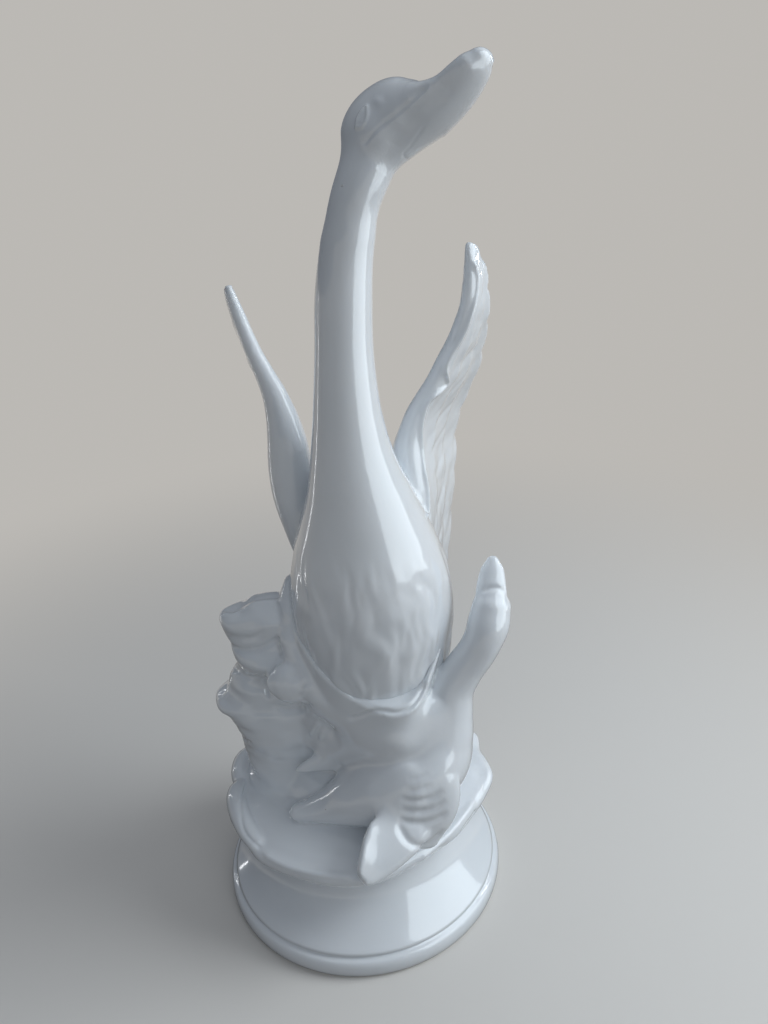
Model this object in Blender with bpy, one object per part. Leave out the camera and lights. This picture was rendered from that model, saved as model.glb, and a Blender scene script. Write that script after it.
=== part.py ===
"""White glazed porcelain figurine: a goose with raised wings over a small goose, on a round pedestal.

It is one casting, so it is one object. Its origin is on the table under the pedestal's axis, the geese
face -Y, and +Z is up. Sizes are in millimetres, and MM turns them into metres where a mesh is made.
Everything that stands on the ground plate is placed from the plate's top, so it follows the pedestal.
"""

import math

import bmesh
import bpy
import numpy as np
from mathutils import Vector

MM = 0.001

# Pedestal, a turned form that is open below
PEDESTAL_HEIGHT = 50.0
FOOT_RADIUS = 62.0
FOOT_HEIGHT = 8.5
FOOT_BULGE = 1.8
GROOVE_DEPTH = 1.3
GROOVE_HEIGHT = 1.6
WAIST_RADIUS = 43.0
WAIST_HEIGHT = 36.0
FLARE_CURVE = 2.1
WALL = 5.0
FOOT_RING_WIDTH = 6.0
HOLLOW_TOP_RADIUS = 26.0
TURNED_SIDES = 64

# Ground plate with a wavy rim
GROUND_RADIUS = 56.0
GROUND_THICKNESS = 8.0
GROUND_CROWN = 4.0
# Rings of the plate's crown: share of the way out to the rim, and share of the crown's height
CROWN_RINGS = ((0.72, 0.3), (0.45, 0.75), (0.2, 0.95))

# Fused surface of the casting
GRAIN = 1.6
SOFTEN_SHARE = 0.5
SOFTEN_PASSES = 4
SHARP_EDGE_DEGREES = 40
TRIANGLES = 7400

# Rim of the ground plate: angle in degrees, how far it stands out from GROUND_RADIUS, and its rise
RIM = [
    (-173, 0.6, 1.0), (-164, 2.0, 0.5), (-152, -0.4, -1.5), (-138, -0.2, -2.0), (-120, -2.0, -1.5),
    (-101, -2.4, -2.0), (-84, -2.5, -1.5), (-68, -5.2, -2.0), (-52, -5.6, -1.5), (-38, -3.6, -1.0),
    (-24, -1.6, 0.0), (-14, 1.2, 1.0), (-5, 4.2, 3.0), (3, 2.6, 4.0), (10, 1.4, 4.0), (19, 3.4, 5.0),
    (30, 1.0, 2.0), (42, 2.6, 1.0), (56, -1.2, 0.0), (70, 1.0, 0.5), (84, -1.8, -0.5), (98, 1.0, 0.5),
    (113, -1.4, -0.5), (127, 1.6, 0.5), (141, -0.6, 0.0), (152, 2.2, 2.0), (161, 0.6, 1.0),
    (170, 2.4, 1.5), (178, 0.2, 0.5),
]

# Lofts: rows are x, y, height above the ground, half-width and half-depth of the section
BREAST = [
    (12.0, 1, 56, 21, 22), (12.0, 0, 66, 29.8, 30.5), (12.6, -1, 79, 32, 32), (12.9, -2, 92, 32.3, 32.3),
    (12.8, -4, 105, 31, 30.5), (12.5, -6, 117, 28.1, 27.5), (12.1, -8, 129, 24.2, 23.5),
    (11.6, -10, 140, 20.4, 20), (10.9, -11.7, 150, 17.1, 16.8), (10.4, -13, 160.7, 14.4, 14.3),
    (10.3, -14, 170, 12.7, 12.7), (10.4, -15, 180, 11.35, 11.5), (11.1, -16, 197, 9.9, 10.2),
    (12.4, -17, 214, 9.4, 9.6), (14.7, -18, 229, 8.6, 8.9), (18.2, -19.5, 243, 8.3, 8.6),
    (22.6, -20.8, 252.5, 9.2, 9.4),
]
HEAD = [
    (22.5, -17, 253.5, 8.2, 8.2), (26.4, -18, 259.5, 10.7, 11.5), (31.6, -19.7, 263.5, 10.4, 11.1),
    (37.5, -23.5, 265.8, 9.2, 8.6), (42.5, -27, 268, 8.5, 5.9), (47.6, -29.8, 271, 8.4, 4.4),
    (52.1, -32.1, 275, 7.8, 3.7), (55.4, -33.6, 278.2, 6.4, 3),
]
HEAD_SIDE = (0.602, 0.656, -0.459)
RUMP = [
    (13.0, 4, 88, 28, 26), (14.0, 18, 88, 25, 22.5), (15.0, 30, 85, 19.5, 16),
    (15.5, 40, 80.5, 14.5, 9.5), (16.0, 49, 76, 13, 5.4), (16.5, 56, 73, 14, 3.6),
    (16.5, 59.5, 71.5, 12, 2.8),
]
SMALL_BODY = [
    (-24.8, -23.5, 4.6, 4, 3.7), (-18.5, -24, 5.8, 5.6, 4.9), (-10, -24.2, 8.4, 9.5, 7.6),
    (1, -24.8, 13.5, 14.5, 12.5), (12, -25, 18.5, 18, 16.2), (23, -25, 24, 19.2, 18.2),
    (32, -24, 31, 17.2, 16.6), (37.5, -22.8, 41, 12.8, 12.4), (40.5, -21.8, 51, 9.6, 9.6),
    (43.2, -20.8, 61, 7.7, 7.6), (47.5, -20.3, 69.3, 6.8, 6.8), (51.8, -20, 76.2, 6.7, 6.8),
    (54.7, -19.3, 82, 7, 7), (56.8, -17.8, 87.2, 7.4, 7.4), (58.4, -15.6, 93.2, 6.7, 6.8),
]
SMALL_BILL = [
    (58.4, -16.5, 93, 5.6, 6.2), (59.0, -13.6, 99.5, 4.6, 4.2), (59.8, -11, 104.5, 3.9, 3.0),
    (60.4, -8.8, 108.6, 2.9, 2.2),
]
SMALL_BILL_SIDE = (0.95, -0.25, 0.0)
PETAL_BACK = [
    (-47.5, 24, -3, 4.6, 5), (-52.2, 16, -0.8, 4.7, 5.8), (-53.2, 8, 0.2, 4.4, 6),
    (-51.8, 2, -0.8, 4.2, 5.2),
]
PETAL_FRONT = [
    (-51.8, -2, -1, 4.4, 5.4), (-53, -8, 0.2, 4.6, 6), (-51, -16, -0.4, 4.6, 5.6),
    (-47, -24.2, -2, 4.4, 4.6), (-42, -31.2, -3.6, 4, 3.6),
]
MOUND = [
    (3, 8, -3, 44, 38), (4, 8, 4, 40, 34), (6, 8, 12, 35, 30), (8, 7, 24, 29, 26), (10, 5, 38, 24, 23),
    (12, 3, 54, 22, 22),
]
# Rock on the goose's right: a foot, a broken nub, two folds and a wave's crest on top, with a knob in front
ROCK = [
    (-25, 5, -3, 29, 26), (-27, 6, 2, 23.5, 21.5), (-27, 6, 5.5, 20, 19.5), (-27, 6, 10, 19.6, 18.8),
    (-27, 5.5, 16, 20.4, 18), (-27, 5, 24, 21.2, 17.2), (-27, 4.5, 32, 23.4, 17), (-27, 4, 37, 25, 16.6),
    (-27, 3.6, 41.2, 27, 16.2), (-27, 3.2, 45, 29.5, 15.6), (-27, 3, 48, 29, 14.8),
    (-27, 2.6, 51, 26.4, 14), (-27, 2.2, 54.5, 23.4, 13.2), (-27, 2, 58, 22.2, 12.8),
    (-27, 1.6, 60.6, 21, 12.2), (-27, 1.2, 63, 18.6, 11.6), (-27, 0.8, 65.5, 17.4, 11.8),
    (-27, 0.6, 68.5, 18, 12.8), (-27, 0.4, 72, 18.8, 13.8), (-27, 0, 75, 18.6, 13),
    (-27, -0.4, 78, 18.3, 10.4), (-27, -0.8, 81, 19.2, 9.4), (-27, -1, 84.5, 20.4, 9.4),
    (-27, -1, 87.4, 21.4, 10), (-27, -1, 89.6, 21.8, 10.2), (-27, -1, 91, 20.4, 9.6),
    (-27, -1, 92.2, 15.4, 8.8), (-27, -1, 94, 11, 7.6), (-26.8, -1, 95.6, 7.4, 5.6),
]
ROCK_KNOB = [
    (-21, -6, 66, 10.5, 10), (-20.5, -14, 66.3, 10.2, 9.8), (-20.3, -17.5, 66.4, 9.6, 9.2),
]
ROCK_FOLD = [
    (-13, -8, 66, 8, 8), (-10, -11, 52, 9, 7), (-10.5, -10.5, 40, 9, 6.5), (-13, -7, 27, 9, 6.5),
    (-16, -2, 12, 9, 8),
]
# Shoulder of the rock under the breast's side, from behind the crest down to the front
ROCK_SHOULDER = [
    (-18, 1, 101, 4, 6), (-18.5, -3, 91, 6.5, 9.5), (-17, -7, 79, 8.5, 10.2), (-11.5, -14.5, 68, 9.5, 9),
    (-5, -18, 58.5, 10, 8.5), (3, -19, 51, 10, 8.5),
]

# Wings, right and left as seen from the front: rows are the front edge's x, y and height, the back
# edge's, and the thickness
RIGHT_WING = [
    (27, -1, 70, 36, 20, 66, 12), (28, 0, 81, 41.5, 30, 76, 13.5), (28.5, 1, 92, 45.8, 37, 86, 14),
    (29, 1.5, 104, 47.6, 39.5, 95, 14), (29.6, 2, 116, 49.2, 42, 108, 14),
    (30.3, 2, 129, 51.2, 44, 121, 14), (30.4, 2.5, 141, 52.3, 44.5, 133, 13.6),
    (30.6, 3, 150.5, 52.5, 43.8, 143.5, 11.5), (33, 4, 159, 54.3, 42.3, 152, 8.8),
    (36.4, 5, 167.5, 57.2, 40, 161.5, 7.2), (41.5, 5.5, 176, 60.5, 36.5, 171, 6.6),
    (46.5, 6, 185.5, 62.0, 31, 180.5, 5.9), (50.6, 6, 194, 62.9, 25, 190, 5.5),
    (53.8, 6, 202, 63.0, 18.5, 199.5, 5.2), (55.4, 6, 209.5, 62.6, 15.5, 207.8, 4.8),
    (56.1, 6.5, 217.5, 61.4, 13.5, 216, 4.0), (56.6, 7, 225, 58.2, 9.5, 224.3, 2.6),
]
LEFT_WING = [
    (-5, 0, 94, -6, 22, 86, 9), (-10, 0, 106, -14.5, 32, 98, 9.5), (-13, 0, 118, -20.5, 38, 110, 10),
    (-14, 0, 127, -23, 41, 119, 12), (-14.7, 0, 136, -24.2, 43, 128, 14.6),
    (-14.5, 0, 145, -24.2, 44, 137.5, 16.2), (-13.8, 0, 153, -23, 43.5, 146, 16.4),
    (-13.1, 0.5, 161, -22, 42, 154.5, 15), (-13.6, 2, 169, -21.8, 39.5, 163, 12),
    (-15.4, 3.5, 177, -23, 36, 171.5, 9.4), (-18, 4.5, 184.5, -25, 32, 180, 7.2),
    (-20.8, 5, 192, -26.8, 28, 188, 5.8), (-23, 5.5, 199.5, -28, 23, 196.5, 5.0),
    (-24.9, 6, 206.5, -28.8, 18, 204.5, 4.4), (-26.2, 6.5, 212, -28.6, 13, 211, 3.4),
    (-26.9, 7, 216.5, -27.8, 10.5, 216, 2.4),
]
SMALL_NEAR_WING = [
    (31, -42.5, 8.5, 16, -38, 32, 9), (24.2, -48, 4.5, 8, -43.8, 24.6, 8),
    (16.4, -52.5, 1, 3.8, -49, 18.2, 7), (9, -56, -1.2, 1.8, -54.4, 12.4, 5.5),
    (4.4, -58.2, -1.4, 0.2, -57.6, 7, 4.4), (2.6, -58.9, -0.4, 0.6, -58.6, 4, 3.2),
]
SMALL_FAR_WING = [
    (23, -13, 45, 24, -14, 25, 8), (13, -13.5, 43.6, 14, -14.5, 22, 8), (2, -15, 39.6, 3, -16.4, 20, 7),
    (-9, -16.4, 33.6, -8, -17, 20.2, 5.5), (-18, -17, 27.2, -17, -17.4, 20.6, 4),
    (-25, -17.4, 22.6, -24.5, -17.6, 21, 2.8),
]
SMALL_COVERTS = [
    (25.5, -42.6, 3.5, 4.5, 3.0), (27.5, -41.2, 12, 9, 4.2), (30.3, -39.2, 22, 11.4, 4.7),
    (31, -36, 32, 10.5, 4.7), (29.8, -31.5, 40, 8, 3.8),
]
# Collar, a shell between a free rim and a root in the mound, with rows as a wing's
COLLAR = [
    (-18.4, -2, 105, -21, -1, 86, 2.4), (-18.2, -9, 96, -19.5, -6, 74, 2.4),
    (-15.2, -17.2, 87.5, -16.5, -10.5, 64, 2.4), (-9.4, -24.2, 78.6, -11, -15, 55, 2.4),
    (-1.8, -29, 71.6, -3, -18, 48, 2.4), (4.8, -30.6, 67.4, 5, -19.5, 44, 2.4),
    (11, -33.2, 64.8, 12, -20, 43.5, 2.6), (18.5, -36.2, 62.8, 18, -20, 44, 2.8),
    (25.2, -35.6, 63.6, 24, -18.5, 46, 2.8), (30.6, -32.6, 68, 29, -15.5, 50, 2.8),
    (35.4, -27.2, 74.6, 33, -11, 57, 2.6), (39.4, -20.2, 82, 36, -6, 66, 2.4),
    (42.2, -12, 90, 38, -2, 76, 2.2),
]
# Leaf from the shell's rim in to the breast, on the small goose's side, with rows as a wing's
COLLAR_LEAF = [
    (8, -31.2, 66, 9, -27, 67, 2.2), (12, -33.2, 65, 12, -26, 68, 2.6),
    (18.5, -36, 63, 17, -25.5, 69, 2.8), (25.2, -35.4, 63.8, 22.5, -24, 70.5, 2.8),
    (30.6, -32.4, 68.2, 27.5, -21, 72.5, 2.8), (35.4, -27, 74.8, 32.5, -17, 76, 2.6),
    (39.4, -20, 82.2, 37, -11.5, 82, 2.2),
]
# Wing sections: feather tips on the back edge, their depth and ridges, and how the thickness falls off
FEATHERS = 12
FEATHER_DEPTH = 2.2
FEATHER_RIDGE = 0.8
FEATHER_THICKNESS = 3.6
FEATHER_MIDDLE = 0.6
TAPER = 1.5
BLUNT = 0.93

# Turns at which the rings of a loft's round end are set, in radians
DOME_RINGS = (0.4, 0.8, 1.15, 1.4)


def through(rows, steps, closed=False):
    """Rows on a Catmull-Rom curve through the given rows, with this many steps from each to the next."""
    rows = np.array(rows, float)
    if closed:
        ends = np.vstack([rows[-1:], rows, rows[:2]])
    else:
        ends = np.vstack([2 * rows[0] - rows[1], rows, 2 * rows[-1] - rows[-2]])
    t = np.linspace(0, 1, steps, endpoint=False)[:, None]
    found = []
    for a, b, c, d in zip(ends, ends[1:], ends[2:], ends[3:]):
        bend = (2 * a - 5 * b + 4 * c - d) * t**2 + (3 * b - a - 3 * c + d) * t**3
        found.append(b + ((c - a) * t + bend) / 2)
    return np.vstack(found if closed else [*found, rows[-1:]])


def solid_from_rings(name, rings, tips):
    """Closed mesh through rings of equal length, with a point in tips closing each end."""
    mesh = bmesh.new()
    loops = [[mesh.verts.new(Vector(point) * MM) for point in ring] for ring in rings]
    for low, high in zip(loops, loops[1:]):
        for i in range(len(low)):
            mesh.faces.new((low[i - 1], low[i], high[i], high[i - 1]))
    for loop, tip in zip((loops[0], loops[-1]), tips):
        end = mesh.verts.new(Vector(tip) * MM)
        for i in range(len(loop)):
            mesh.faces.new((loop[i - 1], loop[i], end))
    bmesh.ops.recalc_face_normals(mesh, faces=mesh.faces)
    data = bpy.data.meshes.new(name)
    mesh.to_mesh(data)
    mesh.free()
    solid = bpy.data.objects.new(name, data)
    bpy.context.scene.collection.objects.link(solid)
    return solid


def on_ground(points):
    """Points whose height is above the ground plate's top, moved to their height above the table."""
    return np.asarray(points, float) + (0, 0, PEDESTAL_HEIGHT)


def loft(name, rows, side=(1, 0, 0), sides=28, steps=4, domes=(1.0, 1.0)):
    """Rounded form along the rows, with elliptical sections square to its path and a dome at each end.

    A dome of 1.0 is half-round, and a smaller one is flatter.
    """
    rows = through(rows, steps)
    path = on_ground(rows[:, :3])
    heading = np.gradient(path, axis=0)
    heading /= np.linalg.norm(heading, axis=1)[:, None]
    wide = np.array(side) - heading * (heading @ np.array(side, float))[:, None]
    wide /= np.linalg.norm(wide, axis=1)[:, None]
    deep = np.cross(heading, wide)
    angle = np.linspace(0, 2 * math.pi, sides, endpoint=False)[:, None]

    def ring(i, centre, share):
        half_width, half_depth = rows[i, 3:5] * share
        return centre + half_width * np.cos(angle) * wide[i] + half_depth * np.sin(angle) * deep[i]

    rings = [ring(i, path[i], 1) for i in range(len(path))]
    tips = []
    for i, outward, share in ((0, -heading[0], domes[0]), (-1, heading[-1], domes[1])):
        rise = outward * min(rows[i, 3:5]) * share
        dome = [ring(i, path[i] + rise * math.sin(a), math.cos(a)) for a in DOME_RINGS]
        tips.append(path[i] + rise)
        rings = dome[::-1] + rings if i == 0 else rings + dome
    return solid_from_rings(name, rings, tips)


def slab(name, outline, top, thickness, edge, crown=0.0, steps=4):
    """Thick plate with rounded edges: outline rows are x, y and how far the edge rises over the top."""
    outline = through(outline, steps, closed=True)
    centre = outline.mean(axis=0)
    reach = np.linalg.norm(outline[:, :2] - centre[:2], axis=1).mean()
    edge = min(edge, thickness / 2)
    rings = []
    for a in np.radians([-90, -60, -30, 0, 0, 30, 60, 90]):
        share = 1 - edge * (1 - math.cos(a)) / reach
        ring = centre + (outline - centre) * share
        low = len(rings) < 4
        ring[:, 2] = outline[:, 2] + top - (thickness - edge if low else edge) + edge * math.sin(a)
        rings.append(ring)
    for share, rise in CROWN_RINGS:
        ring = centre + (outline - centre) * share
        ring[:, 2] = top + outline[:, 2] * share**2 + crown * rise
        rings.append(ring)
    tips = ((*centre[:2], top - thickness), (*centre[:2], top + crown))
    return solid_from_rings(name, [on_ground(ring) for ring in rings], on_ground(tips))


def wing(name, rows, outward, feathers=0, sides=40, steps=8):
    """Raised wing: thick smooth front edge, thin back edge, and feather tips along the back."""
    rows = through(rows, steps)
    front, back, thick = rows[:, :3], rows[:, 3:6], rows[:, 6]
    chord = back - front
    span = np.gradient((front + back) / 2, axis=0)
    normal = np.cross(span, chord)
    normal *= np.sign(normal @ np.array(outward, float))[:, None]
    normal /= np.linalg.norm(normal, axis=1)[:, None]
    angle = np.linspace(0, 2 * math.pi, sides, endpoint=False)
    along = (1 - np.cos(angle)) / 2
    face = np.where(angle < math.pi, 1.0, -1.0)
    length = np.linspace(0, 1, len(rows))
    rings = []
    for i in range(len(rows)):
        reach = np.linalg.norm(chord[i])
        nose = min(thick[i] / 2 / reach, 0.5)
        behind = np.clip((along - nose) / (1 - nose), 0, 1)
        half = (FEATHER_THICKNESS + (thick[i] - FEATHER_THICKNESS) * (1 - behind) ** TAPER) / 2
        half *= np.sqrt(1 - np.clip(1 - along / nose, 0, 1) ** 2)
        half *= np.sqrt(1 - np.clip(along - BLUNT, 0, 1) ** 2 / (1 - BLUNT) ** 2)
        tip = 0.0
        if feathers:
            phase = abs(math.sin(math.pi * feathers * length[i]))
            tip = (math.sqrt(phase) - FEATHER_MIDDLE) * FEATHER_DEPTH / reach
            feathered = np.clip(4 * behind - 1, 0, 1) * (face > 0) * (along < BLUNT)
            half += (phase - 0.5) * FEATHER_RIDGE * feathered
        along_chord = front[i] + np.outer(along * (1 + tip), chord[i])
        rings.append(on_ground(along_chord + np.outer(face * half, normal[i])))
    return solid_from_rings(name, rings, (rings[0].mean(axis=0), rings[-1].mean(axis=0)))


def turned(name, profile):
    """Closed solid turned about Z from a profile of radius and height that starts and ends on the axis."""
    mesh = bmesh.new()
    points = [mesh.verts.new((radius * MM, 0, height * MM)) for radius, height in profile]
    edges = [mesh.edges.new(pair) for pair in zip(points, points[1:])]
    bmesh.ops.spin(
        mesh, geom=points + edges, cent=(0, 0, 0), axis=(0, 0, 1), angle=2 * math.pi,
        steps=TURNED_SIDES, use_merge=True,
    )
    bmesh.ops.remove_doubles(mesh, verts=mesh.verts, dist=0.01 * MM)
    bmesh.ops.recalc_face_normals(mesh, faces=mesh.faces)
    data = bpy.data.meshes.new(name)
    mesh.to_mesh(data)
    mesh.free()
    solid = bpy.data.objects.new(name, data)
    bpy.context.scene.collection.objects.link(solid)
    return solid


def pedestal_profile():
    """Outer profile from the table up: a rounded foot band, a groove, and a flare up to a waist."""
    band = [(FOOT_RADIUS - FOOT_RING_WIDTH / 4, 0.0)]
    for a in np.radians(np.linspace(-75, 75, 6)):
        band.append((FOOT_RADIUS - FOOT_BULGE * (1 - math.cos(a)), FOOT_HEIGHT * (1 + math.sin(a)) / 2))
    shoulder = FOOT_RADIUS - FOOT_BULGE
    groove = shoulder - GROOVE_DEPTH
    flare = [(shoulder - GROOVE_DEPTH / 2, FOOT_HEIGHT), (groove, FOOT_HEIGHT + GROOVE_HEIGHT / 2)]
    top = PEDESTAL_HEIGHT - GROUND_THICKNESS / 2
    low = FOOT_HEIGHT + GROOVE_HEIGHT
    for share in np.linspace(0, 1, 8):
        radius = WAIST_RADIUS + (shoulder - GROOVE_DEPTH / 3 - WAIST_RADIUS) * (1 - share) ** FLARE_CURVE
        flare.append((radius, low + (WAIST_HEIGHT - low) * share))
    flare.append((WAIST_RADIUS + 1, top))
    return band + flare


def pedestal():
    """Turned pedestal, solid until the hollow is cut."""
    outside = pedestal_profile()
    return turned("pedestal", [(0.0, 0.0), *outside, (0.0, outside[-1][1])])


def pedestal_hollow():
    """Cutter for the pedestal's open underside, one wall inside its outer profile."""
    ring = FOOT_RADIUS - FOOT_RING_WIDTH
    top = PEDESTAL_HEIGHT - GROUND_THICKNESS - WALL
    inside = [(0.0, -WALL), (ring, -WALL), (ring, 0.0)]
    for radius, height in pedestal_profile():
        if FOOT_HEIGHT + GROOVE_HEIGHT <= height < top - WALL:
            inside.append((min(ring, radius - WALL), height))
    inside += [(HOLLOW_TOP_RADIUS, top), (0.0, top)]
    cutter = turned("pedestal_hollow", inside)
    cutter.hide_render = True
    cutter.display_type = "WIRE"
    return cutter


def ground():
    """Ground plate with its wavy rim and two petals of rock on it, and the mound under the large goose."""
    outline = []
    for angle, stand_out, rise in RIM:
        a = math.radians(angle)
        radius = GROUND_RADIUS + stand_out
        outline.append((radius * math.cos(a), radius * math.sin(a), rise))
    plate = slab("ground", outline, 0.0, GROUND_THICKNESS, GROUND_THICKNESS / 2, GROUND_CROWN)
    return [
        plate,
        loft("mound", MOUND, sides=32, domes=(0.0, 0.0)),
        loft("petal_back", PETAL_BACK),
        loft("petal_front", PETAL_FRONT),
    ]


def rock():
    """Rock beside the large goose, with a knob in front, a fold and a shoulder that meets the shell."""
    return [
        loft("rock", ROCK, domes=(0.0, 0.2)),
        loft("rock_knob", ROCK_KNOB, domes=(1.0, 0.6)),
        loft("rock_fold", ROCK_FOLD),
        loft("rock_shoulder", ROCK_SHOULDER),
    ]


def large_goose():
    """Vase-shaped breast and neck, the head turned up to one side, the rump and the raised wings."""
    return [
        loft("breast", BREAST, sides=36),
        loft("head", HEAD, side=HEAD_SIDE),
        loft("rump", RUMP, sides=32),
        wing("right_wing", RIGHT_WING, (1, 0, 0), FEATHERS),
        wing("left_wing", LEFT_WING, (-1, 0, 0), FEATHERS),
    ]


def small_goose():
    """Small goose that leans on the front of the ground with its wings spread and its bill up."""
    return [
        loft("small_body", SMALL_BODY, side=(0, 1, 0)),
        loft("small_bill", SMALL_BILL, side=SMALL_BILL_SIDE),
        wing("small_near_wing", SMALL_NEAR_WING, (0, -1, 0.4)),
        wing("small_far_wing", SMALL_FAR_WING, (0, 1, 0.4)),
        loft("small_coverts", SMALL_COVERTS),
    ]


def collar():
    """Shell of rock that cups the breast from below, with a lip that flares towards the small goose."""
    return [wing("collar", COLLAR, (0, -1, 0)), wing("collar_leaf", COLLAR_LEAF, (0, 0, 1))]


def triangle_count(solid):
    return sum(len(face.vertices) - 2 for face in solid.data.polygons)


def apply_modifiers(solid):
    """Replace the object's mesh with the one its modifiers make."""
    graph = bpy.context.evaluated_depsgraph_get()
    made = bpy.data.meshes.new_from_object(solid.evaluated_get(graph))
    old = solid.data
    solid.modifiers.clear()
    solid.data = made
    bpy.data.meshes.remove(old)


def fused(name, solids):
    """One skin over the solids, softened where they meet, as slip and glaze leave them."""
    whole = bmesh.new()
    for solid in solids:
        whole.from_mesh(solid.data)
        bpy.data.objects.remove(solid)
    data = bpy.data.meshes.new(name)
    whole.to_mesh(data)
    whole.free()
    casting = bpy.data.objects.new(name, data)
    bpy.context.scene.collection.objects.link(casting)
    skin = casting.modifiers.new("skin", "REMESH")
    skin.mode = "VOXEL"
    skin.voxel_size = GRAIN * MM
    soften = casting.modifiers.new("soften", "SMOOTH")
    soften.factor = SOFTEN_SHARE
    soften.iterations = SOFTEN_PASSES
    apply_modifiers(casting)
    fewer = casting.modifiers.new("fewer", "DECIMATE")
    fewer.ratio = TRIANGLES / triangle_count(casting)
    apply_modifiers(casting)
    return casting


def porcelain():
    """White glazed porcelain, faintly cool, as the casting shows it."""
    material = bpy.data.materials.new("white_glazed_porcelain")
    material.use_nodes = True
    shader = material.node_tree.nodes["Principled BSDF"]
    shader.inputs["Base Color"].default_value = (0.83, 0.85, 0.87, 1)
    shader.inputs["Roughness"].default_value = 0.12
    shader.inputs["Metallic"].default_value = 0.0
    shader.inputs["Coat Weight"].default_value = 0.6
    return material


def add_boolean(solid, operation, other):
    change = solid.modifiers.new(operation.lower(), "BOOLEAN")
    change.operation = operation
    change.solver = "EXACT"
    change.object = other


def figurine():
    """The whole casting: the fused upper part joined to the turned pedestal, which is then hollowed."""
    casting = fused("geese_figurine", ground() + rock() + large_goose() + small_goose() + collar())
    base = pedestal()
    base.hide_render = True
    base.display_type = "WIRE"
    add_boolean(casting, "UNION", base)
    add_boolean(casting, "DIFFERENCE", pedestal_hollow())
    casting.data.materials.append(porcelain())
    casting.data.shade_smooth()
    casting.data.set_sharp_from_angle(angle=math.radians(SHARP_EDGE_DEGREES))
    return casting


for leftover in list(bpy.data.objects):
    bpy.data.objects.remove(leftover)
figurine()
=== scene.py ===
"""White glazed porcelain figurine: a goose with raised wings over a small goose, on a round pedestal.

The birds, the rock and the ground plate are fused from closed forms, as the casting is. Their fine relief is
pressed into the fused surface along lines that are seen from the camera. Sizes are in millimetres, except
where a comment says metres, and MM turns them into metres.
"""

import math

import bmesh
import bpy
import numpy as np
from mathutils import Matrix, Vector, noise
from mathutils.bvhtree import BVHTree


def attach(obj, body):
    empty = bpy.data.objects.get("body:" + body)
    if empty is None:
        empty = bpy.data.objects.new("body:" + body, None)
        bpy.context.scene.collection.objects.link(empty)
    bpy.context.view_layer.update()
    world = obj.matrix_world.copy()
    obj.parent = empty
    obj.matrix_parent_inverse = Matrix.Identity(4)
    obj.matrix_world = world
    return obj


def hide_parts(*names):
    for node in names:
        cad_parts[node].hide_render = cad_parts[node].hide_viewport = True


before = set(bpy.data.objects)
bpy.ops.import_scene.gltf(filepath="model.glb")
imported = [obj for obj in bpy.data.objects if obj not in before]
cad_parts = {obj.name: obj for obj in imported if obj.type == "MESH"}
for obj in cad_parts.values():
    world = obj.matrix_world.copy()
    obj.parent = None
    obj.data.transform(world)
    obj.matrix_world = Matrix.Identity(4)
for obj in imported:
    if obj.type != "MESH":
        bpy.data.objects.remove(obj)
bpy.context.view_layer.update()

MM = 0.001

# Camera: place, tilt below level and roll in degrees, focal length in pixels of the photo's frame, sensor,
# and nearest distance in metres
CAMERA_PLACE = (20.34, -292.49, 318.91)
CAMERA_TILT = 25.48
CAMERA_ROLL = -4.2
FOCAL_PIXELS = 850.0
FRAME_PIXELS = (768.0, 1024.0)
SENSOR = 36.0
CLIP_START = 0.01

# Pedestal, a turned form that is open below
PEDESTAL_HEIGHT = 50.0
FOOT_RADIUS = 62.0
FOOT_HEIGHT = 8.5
FOOT_BULGE = 1.8
GROOVE_DEPTH = 1.3
GROOVE_HEIGHT = 1.6
WAIST_RADIUS = 43.0
WAIST_HEIGHT = 36.0
WALL = 5.0
FOOT_RING_WIDTH = 6.0
HOLLOW_TOP_RADIUS = 26.0
# How far the pedestal's top stands out inside the plate, the foot's turn each way in degrees, how much of a
# half turn the groove takes, how fast the flare narrows, and the points of each stretch
PLATE_OVERLAP = 1.0
FOOT_TURN = 78
GROOVE_TURN = 0.78
FLARE_CURVE = 2.1
FOOT_STEPS = 14
GROOVE_STEPS = 9
FLARE_STEPS = 28
HOLLOW_STEPS = 6
PEDESTAL_SIDES = 256

# Ground plate with a wavy rim
GROUND_RADIUS = 56.0
GROUND_THICKNESS = 8.0
GROUND_CROWN = 4.0
# How round its edge is, the angles in degrees of the rings round the edge's lower and upper half, and the
# shares of its outline that the crown's rings take
GROUND_EDGE = GROUND_THICKNESS / 2
LOWER_EDGE = (-90, -70, -50, -30, -15, 0)
UPPER_EDGE = (0, 15, 30, 50, 70, 90)
CROWN_SHARES = (0.85, 0.7, 0.55, 0.4, 0.25, 0.1)

# Rim of the ground plate: angle in degrees, how far it stands out from GROUND_RADIUS, and its rise
RIM = [
    (-173, 0.6, 1.0), (-164, 2.0, 0.5), (-152, -0.4, -1.5), (-138, -0.2, -2.0), (-120, -2.0, -1.5),
    (-101, -2.4, -2.0), (-84, -2.5, -1.5), (-68, -5.2, -2.0), (-52, -5.6, -1.5), (-38, -3.6, -1.0),
    (-24, -1.6, 0.0), (-14, 1.2, 1.0), (-5, 4.2, 3.0), (3, 2.6, 4.0), (10, 1.4, 4.0), (19, 3.4, 5.0),
    (30, 1.0, 2.0), (42, 2.6, 1.0), (56, -1.2, 0.0), (70, 1.0, 0.5), (84, -1.8, -0.5), (98, 1.0, 0.5),
    (113, -1.4, -0.5), (127, 1.6, 0.5), (141, -0.6, 0.0), (152, 2.2, 2.0), (161, 0.6, 1.0),
    (170, 2.4, 1.5), (178, 0.2, 0.5),
]

# Angles in radians of the rings that round off a loft's end
DOME_ANGLES = np.linspace(0.15, 1.45, 10)

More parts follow.
